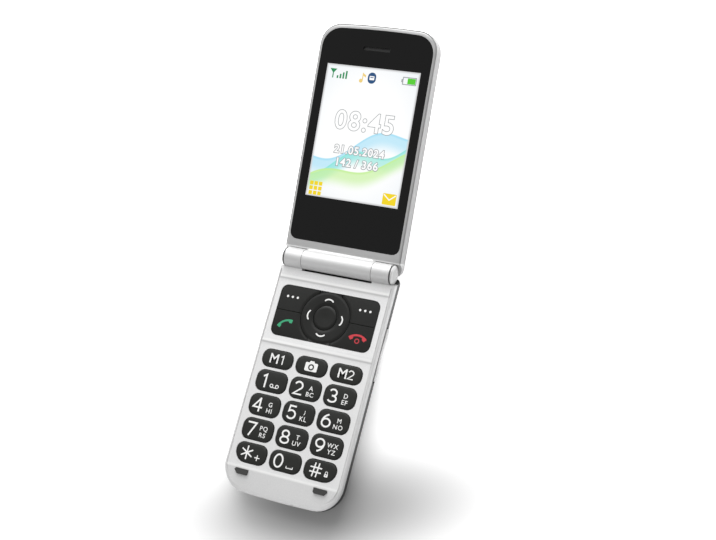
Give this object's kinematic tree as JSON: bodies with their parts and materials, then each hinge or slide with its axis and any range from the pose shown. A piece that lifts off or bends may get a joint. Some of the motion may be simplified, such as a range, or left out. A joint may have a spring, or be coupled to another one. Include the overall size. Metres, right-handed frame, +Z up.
{
  "type": "flip phone",
  "caption": "Clamshell mobile phone lying open: silver keypad half with dark keys and a round navigation ring, and a thin lid with a tall display, joined by a barrel hinge",
  "frame": {"origin": "centre of the flat back of the keypad half, which the phone lies on", "axes": "+X to the right of a user reading the keypad, +Y from the chin over the hinge to the lid, +Z up, away from the surface it lies on"},
  "size_m": [0.0545, 0.2038, 0.0349],
  "materials": {
    "silver_paint": "satin silver paint on moulded plastic",
    "black_plastic": "satin black plastic",
    "battery_foil": "sleeved foil pack",
    "contact_metal": "gold-plated spring metal",
    "circuit_board": "green board lacquer",
    "dome_metal": "thin sprung sheet",
    "mat_rubber": "moulded rubber",
    "key_plastic": "fine satin",
    "steel": "plain",
    "trim_metal": "bright plated",
    "flex_film": "film",
    "black_gloss": "gloss black",
    "display_glass": "display module",
    "lens_glass": "coated lens",
    "flash_diffuser": "pale yellow diffuser"
  },
  "bodies": {
    "keypad_half": {"front_cover": "silver_paint", "rear_housing": "black_plastic", "battery": "battery_foil", "battery_contacts": "contact_metal", "main_board": "circuit_board", "dome_sheet": "dome_metal", "keypad_mat": "mat_rubber", "usb_socket": "steel", "loudspeaker": "black_plastic", "vibration_motor": "steel", "sim_holder": "steel", "antenna": "contact_metal", "base_screws": "steel", "lid_bumpers": "mat_rubber", "hinge_end_caps": "silver_paint", "hinge_cartridge": "steel", "hinge_follower": "steel", "hinge_spring": "steel", "hinge_pin": "steel"},
    "lid": {"lid_front_frame": "silver_paint", "lid_back_cover": "black_gloss", "display_window": "black_gloss", "main_display": "display_glass", "lid_board": "circuit_board", "earpiece": "steel", "earpiece_mesh": "black_plastic", "outer_trim_ring": "trim_metal", "outer_window": "black_gloss", "outer_display": "display_glass", "camera_ring": "trim_metal", "camera_lens": "lens_glass", "camera_module": "black_plastic", "flash_lens": "flash_diffuser", "lid_screws": "steel", "hinge_shaft": "steel", "flex_cable": "flex_film"},
    "key_m1": {"key_m1": "key_plastic"},
    "key_camera": {"key_camera": "key_plastic"},
    "key_m2": {"key_m2": "key_plastic"},
    "key_1": {"key_1": "key_plastic"},
    "key_2": {"key_2": "key_plastic"},
    "key_3": {"key_3": "key_plastic"},
    "key_4": {"key_4": "key_plastic"},
    "key_5": {"key_5": "key_plastic"},
    "key_6": {"key_6": "key_plastic"},
    "key_7": {"key_7": "key_plastic"},
    "key_8": {"key_8": "key_plastic"},
    "key_9": {"key_9": "key_plastic"},
    "key_star": {"key_star": "key_plastic"},
    "key_0": {"key_0": "key_plastic"},
    "key_hash": {"key_hash": "key_plastic"},
    "softkey_left": {"softkey_left": "key_plastic"},
    "softkey_right": {"softkey_right": "key_plastic"},
    "call_key": {"call_key": "key_plastic"},
    "end_key": {"end_key": "key_plastic"},
    "nav_carrier": {"nav_carrier": "key_plastic"},
    "nav_ring": {"nav_ring": "key_plastic"},
    "ok_key": {"ok_key": "key_plastic"},
    "volume_key": {"volume_key": "silver_paint"},
    "battery_cover": {"battery_cover": "black_plastic"}
  },
  "joints": [
    {"name": "flip", "type": "hinge", "parent": "keypad_half", "child": "lid", "pos_m": [0, 0.04895, 0.0106], "axis": [1, 0, 0], "range_deg": [0, 166]},
    {"name": "battery_cover_lift", "type": "slide", "parent": "keypad_half", "child": "battery_cover", "axis": [0, 0, -1], "range_m": [0, 0.01]},
    {"name": "key_m1_press", "type": "slide", "parent": "keypad_half", "child": "key_m1", "axis": [0, 0, -1], "range_m": [0, 0.00025], "stiffness_N_per_m": 2000},
    {"name": "key_camera_press", "type": "slide", "parent": "keypad_half", "child": "key_camera", "axis": [0, 0, -1], "range_m": [0, 0.00025], "stiffness_N_per_m": 2000},
    {"name": "key_m2_press", "type": "slide", "parent": "keypad_half", "child": "key_m2", "axis": [0, 0, -1], "range_m": [0, 0.00025], "stiffness_N_per_m": 2000},
    {"name": "key_1_press", "type": "slide", "parent": "keypad_half", "child": "key_1", "axis": [0, 0, -1], "range_m": [0, 0.00025], "stiffness_N_per_m": 2000},
    {"name": "key_2_press", "type": "slide", "parent": "keypad_half", "child": "key_2", "axis": [0, 0, -1], "range_m": [0, 0.00025], "stiffness_N_per_m": 2000},
    {"name": "key_3_press", "type": "slide", "parent": "keypad_half", "child": "key_3", "axis": [0, 0, -1], "range_m": [0, 0.00025], "stiffness_N_per_m": 2000},
    {"name": "key_4_press", "type": "slide", "parent": "keypad_half", "child": "key_4", "axis": [0, 0, -1], "range_m": [0, 0.00025], "stiffness_N_per_m": 2000},
    {"name": "key_5_press", "type": "slide", "parent": "keypad_half", "child": "key_5", "axis": [0, 0, -1], "range_m": [0, 0.00025], "stiffness_N_per_m": 2000},
    {"name": "key_6_press", "type": "slide", "parent": "keypad_half", "child": "key_6", "axis": [0, 0, -1], "range_m": [0, 0.00025], "stiffness_N_per_m": 2000},
    {"name": "key_7_press", "type": "slide", "parent": "keypad_half", "child": "key_7", "axis": [0, 0, -1], "range_m": [0, 0.00025], "stiffness_N_per_m": 2000},
    {"name": "key_8_press", "type": "slide", "parent": "keypad_half", "child": "key_8", "axis": [0, 0, -1], "range_m": [0, 0.00025], "stiffness_N_per_m": 2000},
    {"name": "key_9_press", "type": "slide", "parent": "keypad_half", "child": "key_9", "axis": [0, 0, -1], "range_m": [0, 0.00025], "stiffness_N_per_m": 2000},
    {"name": "key_star_press", "type": "slide", "parent": "keypad_half", "child": "key_star", "axis": [0, 0, -1], "range_m": [0, 0.00025], "stiffness_N_per_m": 2000},
    {"name": "key_0_press", "type": "slide", "parent": "keypad_half", "child": "key_0", "axis": [0, 0, -1], "range_m": [0, 0.00025], "stiffness_N_per_m": 2000},
    {"name": "key_hash_press", "type": "slide", "parent": "keypad_half", "child": "key_hash", "axis": [0, 0, -1], "range_m": [0, 0.00025], "stiffness_N_per_m": 2000},
    {"name": "softkey_left_press", "type": "slide", "parent": "keypad_half", "child": "softkey_left", "axis": [0, 0, -1], "range_m": [0, 0.00025], "stiffness_N_per_m": 2000},
    {"name": "softkey_right_press", "type": "slide", "parent": "keypad_half", "child": "softkey_right", "axis": [0, 0, -1], "range_m": [0, 0.00025], "stiffness_N_per_m": 2000},
    {"name": "call_key_press", "type": "slide", "parent": "keypad_half", "child": "call_key", "axis": [0, 0, -1], "range_m": [0, 0.00025], "stiffness_N_per_m": 2000},
    {"name": "end_key_press", "type": "slide", "parent": "keypad_half", "child": "end_key", "axis": [0, 0, -1], "range_m": [0, 0.00025], "stiffness_N_per_m": 2000},
    {"name": "ok_key_press", "type": "slide", "parent": "keypad_half", "child": "ok_key", "axis": [0, 0, -1], "range_m": [0, 0.00025], "stiffness_N_per_m": 2000},
    {"name": "nav_up_down", "type": "hinge", "parent": "keypad_half", "child": "nav_carrier", "pos_m": [0, 0.02555, 0.0093], "axis": [1, 0, 0], "range_deg": [-1.3, 1.3], "stiffness_Nm_per_rad": 0.45},
    {"name": "nav_left_right", "type": "hinge", "parent": "nav_carrier", "child": "nav_ring", "pos_m": [0, 0.02555, 0.0093], "axis": [0, 1, 0], "range_deg": [-1.3, 1.3], "stiffness_Nm_per_rad": 0.45},
    {"name": "volume_rock", "type": "hinge", "parent": "keypad_half", "child": "volume_key", "pos_m": [0.0262, 0.01545, 0.006], "axis": [0, 0, 1], "range_deg": [-1.2, 1.2], "stiffness_Nm_per_rad": 0.3}
  ]
}
